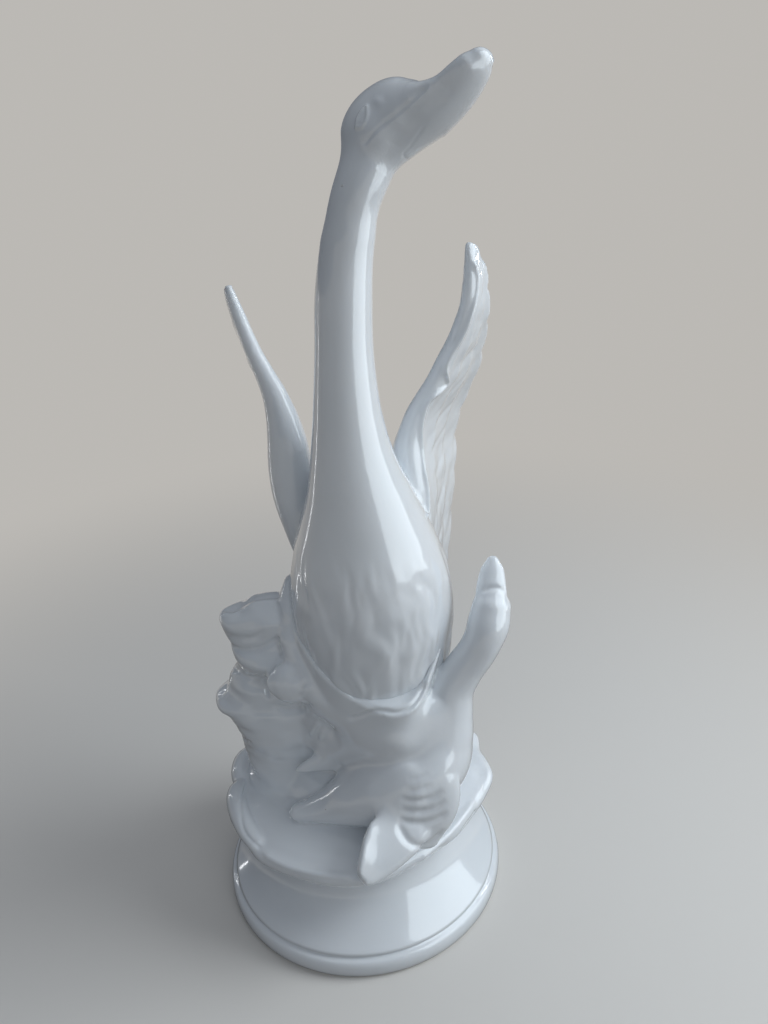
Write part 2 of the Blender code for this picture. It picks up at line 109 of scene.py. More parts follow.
# Lofts: rows are x, y, height above the ground, half-width and half-depth of the section
BREAST = [
    (12.0, 1, 56, 21, 22), (12.0, 0, 66, 29.8, 30.5), (12.6, -1, 79, 32, 32), (12.9, -2, 92, 32.3, 32.3),
    (12.8, -4, 105, 31, 30.5), (12.5, -6, 117, 28.1, 27.5), (12.1, -8, 129, 24.2, 23.5),
    (11.6, -10, 140, 20.4, 20), (10.9, -11.7, 150, 17.1, 16.8), (10.4, -13, 160.7, 14.4, 14.3),
    (10.3, -14, 170, 12.7, 12.7), (10.4, -15, 180, 11.35, 11.5), (11.1, -16, 197, 9.9, 10.2),
    (12.4, -17, 214, 9.4, 9.6), (14.7, -18, 229, 8.6, 8.9), (18.2, -19.5, 243, 8.3, 8.6),
    (22.3, -19.8, 251.5, 8.7, 8.7),
]
HEAD = [
    (22.5, -17, 253.5, 8.2, 8.2), (26.4, -17.6, 260.2, 10.9, 12.2), (31.7, -18.9, 264.4, 11.1, 12.2),
    (37.9, -22.5, 266.1, 11, 9.4), (42.8, -26.3, 267.8, 9.9, 6.1), (47.4, -29.3, 270.6, 8.6, 4.4),
    (51.4, -31.8, 274.4, 7.4, 3.8), (54.2, -33.2, 277.2, 6, 3.3), (55.7, -34, 278.8, 4.2, 2.6),
]
HEAD_SIDE = (0.602, 0.656, -0.459)
RUMP = [
    (13.0, 4, 88, 28, 26), (14.0, 18, 88, 25, 22.5), (15.0, 30, 85, 19.5, 16),
    (15.5, 40, 80.5, 14.5, 9.5), (16.0, 49, 76, 13, 5.4), (16.5, 56, 73, 14, 3.6),
    (16.5, 59.5, 71.5, 12, 2.8),
]
SMALL_BODY = [
    (-24.8, -23.5, 4.6, 4, 3.7), (-18.5, -24, 5.8, 5.6, 4.9), (-10, -24.2, 8.4, 9.5, 7.6),
    (1, -24.8, 13.5, 14.5, 12.5), (12, -25, 18.7, 18.2, 16.6), (23, -25, 24.4, 19.4, 18.6),
    (31.6, -24, 31.4, 17.4, 17.2), (36.1, -22.8, 41.4, 13, 14), (38.8, -21.8, 51.2, 10, 11.5),
    (42, -20.8, 61, 8.2, 9.1), (47, -20.3, 69.3, 7.4, 7.9), (51.9, -20, 76.2, 7.3, 7.6),
    (55, -19.3, 82, 7.7, 7.7), (57.1, -17.8, 87.2, 8.1, 8.2), (58.7, -15.6, 93.2, 7.4, 7.6),
]
SMALL_BILL = [
    (58.4, -16.5, 93, 6.4, 6.4), (59, -13.6, 99.5, 6, 4.6), (59.7, -11, 104.5, 5.2, 3.4),
    (60.2, -9.4, 107.6, 4.2, 2.7), (60.5, -8.3, 109.8, 2.5, 1.9),
]
SMALL_BILL_SIDE = (0.95, -0.25, 0.0)
# Two petals that the ground plate's rim curls into on the left, behind and in front
PETAL_BACK = [
    (-47.5, 24, -3, 4.6, 5), (-52.2, 16, -0.8, 4.7, 5.8), (-53.2, 8, 0.2, 4.4, 6),
    (-51.8, 2, -0.8, 4.2, 5.2),
]
PETAL_FRONT = [
    (-51.8, -2, -1, 4.4, 5.4), (-53, -8, 0.2, 4.6, 6), (-51, -16, -0.4, 4.6, 5.6),
    (-47, -24.2, -2, 4.4, 4.6), (-42, -31.2, -3.6, 4, 3.6),
]
# Mound under the birds
MOUND = [
    (3, 8, -3, 44, 38), (4, 8, 4, 40, 34), (6, 8, 12, 35, 30), (8, 7, 24, 29, 26), (10, 5, 38, 24, 23),
    (12, 3, 54, 22, 22),
]
# Rock on the goose's right: a foot, a broken nub, two folds and a wave's crest on top, with a knob in front
ROCK = [
    (-25, 5, -3, 29, 26), (-27, 6, 2, 23.5, 21.5), (-27, 6, 5.5, 20, 19.5), (-27, 6, 10, 19.6, 18.8),
    (-27, 5.5, 16, 20.4, 18), (-27, 5, 24, 21.2, 17.2), (-27, 4.5, 32, 23.4, 17), (-27, 4, 37, 25, 16.6),
    (-27, 3.6, 41.2, 27, 16.2), (-27, 3.2, 45, 29.5, 15.6), (-27, 3, 48, 29, 14.8),
    (-27, 2.6, 51, 26.4, 14), (-27, 2.2, 54.5, 23.4, 13.2), (-27, 2, 58, 22.2, 12.8),
    (-27, 1.6, 60.6, 21, 12.2), (-27, 1.2, 63, 18.6, 11.6), (-27, 0.8, 65.5, 17.4, 11.8),
    (-27, 0.6, 68.5, 18, 12.8), (-27, 0.4, 72, 18.8, 13.8), (-27, 0, 75, 18.6, 13),
    (-27, -0.4, 78, 18.3, 10.4), (-27, -0.8, 81, 19.2, 9.4), (-27, -1, 84.5, 20.4, 9.4),
    (-27, -1, 87.4, 21.4, 10), (-27, -1, 89.6, 21.8, 10.2), (-27, -1, 91, 20.4, 9.6),
    (-27, -1, 92.2, 15.4, 8.8), (-27, -1, 94, 11, 7.6), (-26.8, -1, 95.6, 7.4, 5.6),
]
ROCK_KNOB = [
    (-21, -6, 66, 10.5, 10), (-20.5, -14, 66.3, 10.2, 9.8), (-20.3, -17.5, 66.4, 9.6, 9.2),
]
ROCK_FOLD = [
    (-13, -8, 66, 8, 8), (-10, -11, 52, 9, 7), (-10.5, -10.5, 40, 9, 6.5), (-13, -7, 27, 9, 6.5),
    (-16, -2, 12, 9, 8),
]
# Shoulder of the rock under the breast's side, from behind the crest down to the front
ROCK_SHOULDER = [
    (-18, 1, 101, 4, 6), (-18.5, -3, 91, 6.5, 9.5), (-17, -7, 79, 8.5, 10.2), (-11.5, -14.5, 68, 9.5, 9),
    (-5, -18, 58.5, 10, 8.5), (3, -19, 51, 10, 8.5),
]

# Wings: rows are the front edge's x, y and height, the back edge's, and the thickness
RIGHT_WING = [
    (27, -1, 70, 36, 20, 66, 12), (28, 0, 81, 41.5, 30, 76, 13.5), (28.5, 1, 92, 45.8, 37, 86, 14),
    (29, 1.5, 104, 47.6, 39.5, 95, 14), (29.2, 2, 116, 49.2, 42, 108, 14),
    (28.8, 2, 129, 51.2, 44, 121, 14.4), (28.2, 2.5, 141, 52.3, 44.5, 133, 14.2),
    (28, 3, 150.5, 52.5, 43.8, 143.5, 12.6), (30.2, 4, 159, 54.3, 42.3, 152, 9.8),
    (34, 5, 167.5, 57.2, 40, 161.5, 8), (39.8, 5.5, 176, 60.7, 36.5, 171, 7.2),
    (45, 6, 185.5, 62.4, 31, 180.5, 6.5), (49.4, 6, 194, 63.4, 25, 190, 6.1),
    (52.4, 6, 202, 63.5, 18.5, 199.5, 5.8), (53.8, 6, 209.5, 63, 15.5, 207.8, 5.3),
    (54.6, 6.5, 217.5, 61.4, 13.5, 216, 4.4), (54.8, 7, 223.2, 58.4, 10.5, 222.4, 3),
    (55, 7.6, 225.4, 56.6, 8.9, 225.2, 1.6),
]
LEFT_WING = [
    (-4, 0, 94, -6, 22, 86, 9), (-7.4, 0, 106, -14.5, 32, 98, 10.5), (-9.8, 0, 118, -20.5, 38, 110, 12),
    (-10.8, 0, 127, -23, 41, 119, 14), (-11.6, 0, 136, -24.2, 43, 128, 16),
    (-11.8, 0, 145, -24.2, 44, 137.5, 17), (-12, 0, 153, -23, 43.5, 146, 16.4),
    (-12.4, 0.5, 161, -22, 42, 154.5, 14.6), (-13.6, 2, 169, -21.8, 39.5, 163, 12),
    (-15.4, 3.5, 177, -23, 36, 171.5, 9.4), (-18, 4.5, 184.5, -25, 32, 180, 7.4),
    (-20.8, 5, 192, -26.8, 28, 188, 6.2), (-23, 5.5, 199.5, -28, 23, 196.5, 5.4),
    (-24.9, 6, 206.5, -28.8, 18, 204.5, 4.8), (-26.2, 6.5, 212, -28.8, 13, 211, 4),
    (-27, 7, 215, -28.2, 10.2, 214.6, 3), (-27.3, 7.6, 216.9, -27.9, 8.9, 216.7, 1.6),
]
SMALL_NEAR_WING = [
    (31, -42.5, 8.5, 17, -38.5, 25, 9), (24.2, -48, 4.5, 8.4, -44.2, 20.5, 8),
    (16.4, -52.5, 1, 4, -49.4, 16.4, 7), (9, -56, -1.2, 1.8, -54.4, 12, 5.5),
    (4.4, -58.2, -1.4, 0.2, -57.6, 7, 4.4), (2.6, -58.9, -0.4, 0.6, -58.6, 4, 3.2),
]
SMALL_FAR_WING = [
    (23, -13, 46, 24, -14, 25, 8), (13, -13.5, 46, 14, -14.5, 22, 8), (2, -15, 42.4, 3, -16.4, 20, 7),
    (-9, -16.4, 35.4, -8, -17, 20.2, 5.5), (-18, -17, 28, -17, -17.4, 20.6, 4),
    (-25, -17.4, 22.8, -24.5, -17.6, 21, 2.8),
]
SMALL_COVERTS = [
    (26, -43.4, 4.6, 6.6, 3.4), (27.2, -41.8, 12, 10.2, 4.4), (30, -39.4, 22, 12, 4.8),
    (31, -36, 32, 10.8, 4.8), (29.8, -31.5, 40, 8, 3.8),
]
# The collar is a shell between a free rim and a root in the mound, with rows as a wing's
COLLAR = [
    (-18.4, -2, 105, -21, -1, 86, 2.2), (-18.2, -9, 96, -19.5, -6.5, 74, 2.2),
    (-15.2, -17.2, 87.5, -16.5, -12, 64, 2.2), (-9.4, -24.2, 78.6, -11, -19, 55, 2.2),
    (-1.8, -29, 71.6, -3, -24.5, 48, 2.2), (4.8, -31.2, 66.8, 5, -28, 44, 2.2),
    (11, -33.4, 63.8, 12, -30, 43.5, 2.3), (18, -35.2, 62.2, 18, -31.5, 44, 2.4),
    (24.2, -34.6, 62.8, 24, -30, 46, 2.4), (29, -31.2, 66.2, 28.8, -25, 50, 2.4),
    (33.4, -26.2, 73, 32.5, -16, 57, 2.4), (38.6, -19.6, 82.2, 36, -8, 66, 1.9),
    (41.8, -12, 90, 38, -3, 76, 1.8),
]
# Leaf from the shell's rim in to the breast, on the small goose's side, with rows as a wing's
COLLAR_LEAF = [
    (4.8, -30.8, 66.6, 6, -27, 66.4, 2.2), (11, -33.2, 64, 12, -27, 65.6, 2.3),
    (18, -35, 62.4, 18, -26.5, 65.4, 2.4), (24.2, -34.2, 63, 23.5, -24.5, 65.8, 2.4),
    (28.8, -31, 66, 27.5, -21.5, 67.2, 2.4), (31.6, -27.6, 69.6, 30.5, -19, 69.4, 2.2),
]
# Back of the small goose under the shell's rim, that fills the hollow between the two
BACK_FILL = [
    (-9, -16.5, 30, 4.5, 6), (-1, -18.5, 35.5, 6.5, 8.5), (6, -21.5, 40, 8.6, 10.6),
    (13, -24.6, 44, 10.4, 12.2), (20, -26, 46.8, 11.2, 12.8), (27, -25, 49, 10, 11.8),
    (33, -23.5, 53.5, 9, 10.5),
]

# Wing sections: thickness near the back edge, how fast they thin out towards it, and where that edge rounds
FEATHER_THICKNESS = 3.6
THICKNESS_CURVE = 1.5
BLUNT = 0.93
# Scallops of a wing's back edge: how many, how deep, and the mean height of one
FEATHERS = 12
FEATHER_DEPTH = 2.2
SCALLOP_LEVEL = 0.6

# Feather rows across a wing: where each ends between front and back edge, feathers along the wing, its lift
FEATHER_ROWS = [(0.36, 17, 0.45), (0.62, 14, 0.45), (1.20, 12, 0.4)]
FEATHER_SWEEP = 0.16
FEATHER_TIP = 0.06
FEATHER_EDGE = 0.03
FEATHER_SEAM = 0.32
SEAM_SHARPNESS = 8.0
SEAM_LENGTH = 0.26
# Where the rows show: their share on the inner face, their mean height, how fast they rise from the wing's
# root, tip and front edge, and where they end before the back edge
INNER_FACE_RELIEF = 0.8
FEATHER_LEVEL = 0.7
ROOT_RISE = 12
TIP_RISE = 6
RELIEF_RISE = 5
RELIEF_START = 0.6
RELIEF_END = 0.985

# Fused surfaces: voxel sizes, smoothing, and most triangles
GOOSE_VOXEL = 0.72
BASE_VOXEL = 0.74
FUSE_FACTOR = 0.5
FUSE_PASSES = 7
MOST_TRIANGLES = 192000

# Lines pressed into the surface, as pixels of the photo's frame: height in mm, half-width in mm, points
HEAD_LINES = [
    (0.50, 0.50, [(356.5, 127.5), (358.5, 118), (362.5, 110.5), (367, 106.5), (368, 113), (366, 121),
                  (361.5, 126.5), (356.5, 127.5)]),
    (0.45, 1.6, [(360.5, 120), (364, 113)]),
    (0.40, 1.3, [(371, 99), (379, 102), (384, 108)]),
    (0.5, 3.0, [(396, 86), (408, 84), (420, 86)]),
    (-0.5, 1.0, [(408, 98), (417, 91), (427, 82)]),
    (-0.32, 0.60, [(363, 146), (369, 138), (376, 130), (385, 122.5), (394, 116), (404, 107.5), (414, 98),
                   (423, 89), (429, 82)]),
    (0.14, 0.9, [(366, 149), (374, 139), (385, 129), (397, 119), (408, 110), (418, 101)]),
]
THROAT_LINES = [
    (-1.2, 3.4, [(377, 170), (386, 155), (397, 139), (411, 121), (428, 102), (443, 84), (456, 70),
                 (467, 60)]),
    (-0.14, 0.6, [(428, 149), (422, 156), (414, 159.5), (406, 159), (404, 154), (410, 147), (418, 136),
                  (427, 123)]),
]
GOOSE_LINES = [
    (1.10, 0.85, [(473, 259), (477, 275), (476, 295), (471.5, 313), (463, 335), (451, 355), (446, 368),
                  (447, 382), (440, 391), (428, 402), (422, 422), (421, 442), (423.5, 467), (427, 487),
                  (428, 507), (426, 518)]),
    (0.8, 4.0, [(298, 436), (302, 450), (300, 466)]),
]
ROCK_LINES = [
    (-1.0, 1.3, [(227, 644), (236, 649), (247, 651), (258, 649), (270, 644), (281, 636)]),
    (-0.8, 1.2, [(234, 668), (243, 676), (254, 677), (264, 674)]),
    (0.9, 1.4, [(218, 613), (231, 616), (243, 611), (256, 604), (270, 602), (285, 601)]),
    (-0.5, 2.6, [(230, 628), (243, 629), (257, 623), (272, 616)]),
    (-0.5, 1.2, [(241, 640), (254, 637), (266, 630)]),
    (0.7, 1.0, [(229, 675), (238, 673), (243, 680)]),
    (0.6, 0.9, [(217, 699), (224, 697), (229, 690), (230, 682)]),
    (-1.0, 1.2, [(270, 700), (267, 688), (268, 675), (274, 665), (285, 660)]),
    (-0.9, 1.3, [(272, 704), (286, 709), (301, 709), (312, 703)]),
    (-1.2, 2.4, [(285, 676), (292, 676), (299, 682)]),
    (0.8, 1.2, [(300, 697), (305, 690), (311, 685)]),
    (0.8, 1.3, [(271, 671), (269, 684), (274, 697)]),
    (-0.9, 1.0, [(238, 738), (245, 741), (253, 743)]),
    (0.9, 1.1, [(310, 737), (314, 728), (320, 720)]),
    (0.8, 1.1, [(319, 741), (322, 734), (327, 727)]),
]
RIM_LINES = [
    (-0.7, 0.8, [(249, 776), (245, 790), (242, 802), (241, 812), (243, 828), (249, 838), (262, 850)]),
    (0.9, 1.3, [(262, 853), (285, 865), (310, 872), (335, 876), (354, 877)]),
    (-0.9, 1.0, [(423, 868), (440, 853), (456, 838), (470, 820), (478, 808)]),
    (0.8, 1.4, [(418, 862), (436, 846), (452, 830), (467, 811), (475, 799)]),
    (0.8, 1.2, [(428, 872), (446, 858), (462, 843), (474, 826), (481, 812)]),
    (-1.5, 3.6, [(480, 762), (482, 775), (478, 789)]),
]
COLLAR_LINES = [
    (0.8, 0.9, [(393, 690), (399, 685), (405, 688), (412, 685)]),
    (-1.0, 1.1, [(347, 720), (360, 716), (372, 712), (385, 711.5), (396, 713), (408, 709), (418, 699),
                 (427, 681)]),
]
SMALL_WING_LINES = [
    (-0.3, 1.5, [(406, 779), (417, 779), (430, 772)]),
    (-0.4, 1.4, [(403, 789), (415, 791), (434, 784)]),
    (-0.5, 1.4, [(399, 799), (413, 801), (432, 798), (444, 789)]),
    (-0.55, 1.4, [(400, 810), (414, 812), (434, 809), (446, 799)]),
    (-0.65, 1.4, [(397, 819), (412, 823), (433, 821), (449, 811)]),
    (0.5, 2.2, [(404, 795), (428, 795)]),
    (0.5, 2.2, [(403, 805), (430, 805)]),
    (0.6, 2.2, [(401, 816), (430, 816)]),
    (0.5, 3.2, [(406, 832), (432, 832)]),
    (-0.8, 1.5, [(398, 820), (402, 832), (408, 841), (417, 846), (427, 845), (436, 838), (445, 828)]),
]
SMALL_BILL_LINES = [
    (-0.7, 1.1, [(481, 594), (485, 590), (492, 588), (500, 589), (508, 593)]),
]

# Tracing of lines: steps between two pixels, spacing along a line, the fade at its ends in points and in
# widths, the longest step that stays on one form, the widest gap of a closed line, and its reach in widths
PIXEL_STEPS = 12
LINE_STEP = 0.4
LINE_FADE = 6
LINE_FADE_WIDTHS = 2.5
LONGEST_STEP = 6.0
CLOSED_GAP = 2.0
LINE_REACH = 3
DISTANCES_AT_ONCE = 4_000_000

# The ranges below say where relief comes in or fades out: to the left or right, forwards (-y) or backwards
# (y), and in height above the ground. Below the least share, it is left out.
LEAST_SHOWN = 0.01

# Feather streaks of the breast, on its surface unrolled to the radius
BREAST_CENTRE = (12.5, -4.0)
BREAST_RADIUS = 30.0
BREAST_REACH = 36.0
BREAST_RELIEF = 0.75
BREAST_RISE = (50, 62)
BREAST_FALL = (104, 132)
BREAST_SIDES = (-0.25, 0.25)
STREAK_SIZE = (6.0, 17.0, 1.0)
FINE_STREAK_SIZE = (3.4, 9.0, 1.0)
FINE_STREAKS = 0.4
STREAK_BEND = 4.5
STREAK_BEND_SIZE = (13.0, 15.0, 1.0)

# Lumps of the feathered faces of the raised wings
LUMP_HEIGHT = 0.45
LUMP_SIZE = (7.0, 7.0, 7.5)
LUMPS_RIGHT = (24, 30)
LUMPS_LEFT = (8, 13)
LUMPS_BACK = (7, 12)
LUMPS_UP = (92, 106)

# Feathers of the tail
TAIL_CENTRE = 15.5
TAIL_HALF_WIDTH = 16.0
TAIL_FEATHER = 4.6
TAIL_RELIEF = 0.45
TAIL_BACK = (28, 40)
TAIL_RISE = (64, 68)
TAIL_FALL = (86, 94)

# Layers of the rock
ROCK_RELIEF = 1.3
ROCK_LEFT = (2, 12)
ROCK_FRONT = (-24, -12)
ROCK_BACK = (2, 12)
ROCK_UP = (5, 16)
LAYER_SIZE = (17.0, 17.0, 8.5)
FINE_LAYER_SIZE = (8.0, 8.0, 4.5)
FINE_LAYERS = 0.45

# The large goose's throat, where its creases are melted, and its head, which has a finer mesh
THROAT_RISE = (232, 240)
THROAT_FALL = (256, 264)
THROAT_RIGHT = 46
THROAT_PASSES = 90
HEAD_MIDDLE = (32.0, -20.0, 262.8)
HEAD_BOTTOM = 238
HEAD_RIGHT = 64

# Zones of the small goose where creases are melted: where each begins and ends along x, forwards and upwards
SMALL_BACK = (((-22, -12), (37, 42)), ((8, 13), (34, 38)), ((20, 26), (57, 62)))
SMALL_WING_ROOT = (((6, 11), (22, 27)), ((36, 40), (70, 80)), ((12, 16), (32, 38)))
SMALL_PASSES = 110
SOFTEN_STEP = 0.6

# Glaze: colours, the cloud of its bluish pools, specks, the bare foot, and the unevenness of its surface
GLAZE = (0.79, 0.825, 0.86, 1.0)
GLAZE_POOL = (0.70, 0.755, 0.79, 1.0)
SPECK = (0.30, 0.27, 0.24, 1.0)
BISQUE = (0.80, 0.77, 0.72, 1.0)
POOL_SCALE = 28.0
POOL_DETAIL = 3.0
POOL_RANGE = (0.45, 0.75)
POOL_SHARE = 0.35
SPECK_SCALE = 55.0
SPECK_RANGE = (0.016, 0.010)
SPECK_SHARE = 0.7
BARE_RANGE = (0.9 * MM, 0.4 * MM)
GLAZE_ROUGHNESS = 0.16
BARE_ROUGHNESS = 0.75
SKIN_SCALE = 160.0
SKIN_DETAIL = 2.0
SKIN_STRENGTH = 0.12
SKIN_DEPTH = 0.4 * MM
GLAZE_IOR = 1.52
COAT_ROUGHNESS = 0.05
BENEATH_SHARE = 0.12
BENEATH_RADIUS = (1.0, 0.9, 0.8)
BENEATH_DEPTH = 1.5 * MM

# Floor and backdrop: half-width, colours as seen and in bounced light, roughness, and the distances in metres
# between which the floor blends into the backdrop
FLOOR_REACH = 4000.0
FLOOR = (0.70, 0.68, 0.65, 1.0)
FLOOR_IN_BOUNCE = (0.36, 0.34, 0.32, 1.0)
FLOOR_ROUGHNESS = 0.6
FLOOR_BLEND = (0.14, 0.55)
BACKDROP = (0.50, 0.485, 0.46, 1.0)
ROOM_LIGHT = (0.74, 0.80, 0.90, 1.0)
ROOM_STRENGTH = 0.22

# Lamps, in metres and watts: name, place, where it points, width, height, power, colour, and whether it is
# only for gloss
LAMPS = [
    ("window", (0.37, -0.17, 0.33), (0.0, 0.0, 0.25), 0.50, 0.58, 2.1, (0.84, 0.94, 1.0), True),
    ("pane", (0.46, 0.13, 0.33), (0.0, 0.0, 0.22), 0.02, 0.25, 0.2, (0.96, 0.98, 1.0), True),
    ("strip", (-0.25, 0.11, 0.135), (0.0, 0.0, 0.16), 0.006, 0.23, 0.03, (0.96, 0.98, 1.0), True),
    ("side", (0.80, -0.05, 0.62), (0.0, 0.0, 0.17), 0.50, 0.60, 6.2, (0.90, 0.96, 1.0), False),
    ("front", (0.35, -1.0, 0.8), (0.0, 0.0, 0.17), 0.90, 0.90, 2.3, (0.92, 0.97, 1.0), False),
    ("top", (0.15, 0.2, 1.3), (0.0, 0.0, 0.15), 0.80, 0.80, 2.0, (0.94, 0.97, 1.0), False),
]


def mesh_object(name, points, faces):
    """Mesh object from points in millimetres."""
    data = bpy.data.meshes.new(name)
    data.from_pydata((np.asarray(points, float) * MM).tolist(), [], faces)
    data.update()
    solid = bpy.data.objects.new(name, data)
    bpy.context.scene.collection.objects.link(solid)
    return solid


def through(rows, steps, closed=False):
    """Rows on a Catmull-Rom curve through the given rows, with this many steps from each to the next."""
    rows = np.array(rows, float)
    if closed:
        ends = np.vstack([rows[-1:], rows, rows[:2]])
    else:
        ends = np.vstack([2 * rows[0] - rows[1], rows, 2 * rows[-1] - rows[-2]])
    t = np.linspace(0, 1, steps, endpoint=False)[:, None]
    found = []
    for a, b, c, d in zip(ends, ends[1:], ends[2:], ends[3:]):
        bend = (2 * a - 5 * b + 4 * c - d) * t**2 + (3 * b - a - 3 * c + d) * t**3
        found.append(b + ((c - a) * t + bend) / 2)
    return np.vstack(found if closed else [*found, rows[-1:]])


def solid_from_rings(name, rings, tips):
    """Closed mesh through rings of equal length, with a point in tips closing each end."""
    rings = np.array(rings, float)
    count, sides = rings.shape[:2]
    points = np.vstack([rings.reshape(-1, 3), np.array(tips, float)])
    i, j = np.meshgrid(np.arange(count - 1), np.arange(sides), indexing="ij")
    here, after = i * sides, (i + 1) * sides
    before = (j - 1) % sides
    quads = np.stack([here + before, here + j, after + j, after + before], -1)
    faces = quads.reshape(-1, 4).tolist()
    low, high, last = count * sides, count * sides + 1, (count - 1) * sides
    for k in range(sides):
        faces.append([(k - 1) % sides, low, k])
        faces.append([last + (k - 1) % sides, last + k, high])
    solid = mesh_object(name, points, faces)
    shell = bmesh.new()
    shell.from_mesh(solid.data)
    bmesh.ops.recalc_face_normals(shell, faces=shell.faces)
    shell.to_mesh(solid.data)
    shell.free()
    return solid


def on_ground(points):
    """Points whose height is above the ground plate's top, moved to their height above the table."""
    return np.asarray(points, float) + (0, 0, PEDESTAL_HEIGHT)


def loft(name, rows, side=(1, 0, 0), sides=72, steps=12, domes=(1.0, 1.0)):
    """Rounded form along the rows, with elliptical sections square to its path and a dome at each end."""
    rows = through(rows, steps)
    path = on_ground(rows[:, :3])
    heading = np.gradient(path, axis=0)
    heading /= np.linalg.norm(heading, axis=1)[:, None]
    wide = np.array(side) - heading * (heading @ np.array(side, float))[:, None]
    wide /= np.linalg.norm(wide, axis=1)[:, None]
    deep = np.cross(heading, wide)
    angle = np.linspace(0, 2 * math.pi, sides, endpoint=False)[:, None]

    def ring(i, centre, share):
        half_width, half_depth = rows[i, 3:5] * share
        return centre + half_width * np.cos(angle) * wide[i] + half_depth * np.sin(angle) * deep[i]

    rings = [ring(i, path[i], 1) for i in range(len(path))]
    tips = []
    for i, outward, share in ((0, -heading[0], domes[0]), (-1, heading[-1], domes[1])):
        rise = outward * min(rows[i, 3:5]) * share
        dome = [ring(i, path[i] + rise * math.sin(a), math.cos(a)) for a in DOME_ANGLES]
        tips.append(path[i] + rise)
        rings = dome[::-1] + rings if i == 0 else rings + dome
    return solid_from_rings(name, rings, tips)


def slab(name, outline, top, thickness, edge, crown, steps=10):
    """Thick plate with rounded edges. The outline's rows are x, y and how far the edge rises over the top."""
    outline = through(outline, steps, closed=True)
    centre = outline.mean(axis=0)
    reach = np.linalg.norm(outline[:, :2] - centre[:2], axis=1).mean()
    rings = []
    for angles, depth in ((LOWER_EDGE, thickness - edge), (UPPER_EDGE, edge)):
        for a in np.radians(angles):
            ring = centre + (outline - centre) * (1 - edge * (1 - math.cos(a)) / reach)
            ring[:, 2] = outline[:, 2] + top - depth + edge * math.sin(a)
            rings.append(ring)
    for share in CROWN_SHARES:
        ring = centre + (outline - centre) * share
        ring[:, 2] = top + outline[:, 2] * share**2 + crown * (1 - share**2)
        rings.append(ring)
    tips = ((*centre[:2], top - thickness), (*centre[:2], top + crown))
    return solid_from_rings(name, [on_ground(ring) for ring in rings], on_ground(tips))


def feather_height(length, along):
    """Height of the overlapping feather rows, at shares of a wing's length and of its depth."""
    height = np.zeros(np.broadcast(length, along).shape)
    for end, feathers, lift in FEATHER_ROWS:
        phase = (length - FEATHER_SWEEP * along) * feathers % 1.0
        bulge = np.clip(1 - (2 * phase - 1) ** 2, 0, 1)
        tip = end + FEATHER_TIP * (np.sqrt(bulge) - SCALLOP_LEVEL)
        covered = np.clip((tip - along) / FEATHER_EDGE + 0.5, 0, 1)
        seam = np.exp(-(np.minimum(phase, 1 - phase) * SEAM_SHARPNESS) ** 2)
        height += lift * covered
        height -= FEATHER_SEAM * seam * covered * (along > end - SEAM_LENGTH)
    return height


def wing(name, rows, outward, feathers=0, sides=150, steps=24):
    """Wing or shell: a round front edge, a thinner back edge, and rows of feathers if it has any."""
    rows = through(rows, steps)
    front, back, thick = rows[:, :3], rows[:, 3:6], rows[:, 6:7]
    chord = back - front
    span = np.gradient((front + back) / 2, axis=0)
    normal = np.cross(span, chord)
    normal *= np.sign(normal @ np.array(outward, float))[:, None]
    normal /= np.linalg.norm(normal, axis=1)[:, None]
    angle = np.linspace(0, 2 * math.pi, sides, endpoint=False)
    along = (1 - np.cos(angle)) / 2
    face = np.where(angle < math.pi, 1.0, -1.0)
    length = np.linspace(0, 1, len(rows))[:, None]
    reach = np.linalg.norm(chord, axis=1)[:, None]
    nose = np.minimum(thick / 2 / reach, 0.5)
    behind = np.clip((along - nose) / (1 - nose), 0, 1)
    half = (FEATHER_THICKNESS + (thick - FEATHER_THICKNESS) * (1 - behind) ** THICKNESS_CURVE) / 2
    half = half * np.sqrt(1 - np.clip(1 - along / nose, 0, 1) ** 2)
    half = half * np.sqrt(1 - np.clip(along - BLUNT, 0, 1) ** 2 / (1 - BLUNT) ** 2)
    tip = np.zeros_like(length)
    if feathers:
        phase = np.abs(np.sin(math.pi * feathers * (length - FEATHER_SWEEP)))
        tip = (np.sqrt(phase) - SCALLOP_LEVEL) * FEATHER_DEPTH / reach
        ends = np.clip(length * ROOT_RISE, 0, 1) * np.clip((1 - length) * TIP_RISE, 0, 1)
        started = np.clip(RELIEF_RISE * behind - RELIEF_START, 0, 1)
        shown = np.where(face > 0, 1.0, INNER_FACE_RELIEF) * started * ends
        relief = feather_height(length, along[None, :]) - FEATHER_LEVEL
        half = half + relief * shown * (along < RELIEF_END)
    across = along * (1 + tip)
    points = front[:, None, :] + across[:, :, None] * chord[:, None, :]
    points = points + (face * half)[:, :, None] * normal[:, None, :]
    rings = on_ground(points)
    return solid_from_rings(name, rings, (rings[0].mean(axis=0), rings[-1].mean(axis=0)))


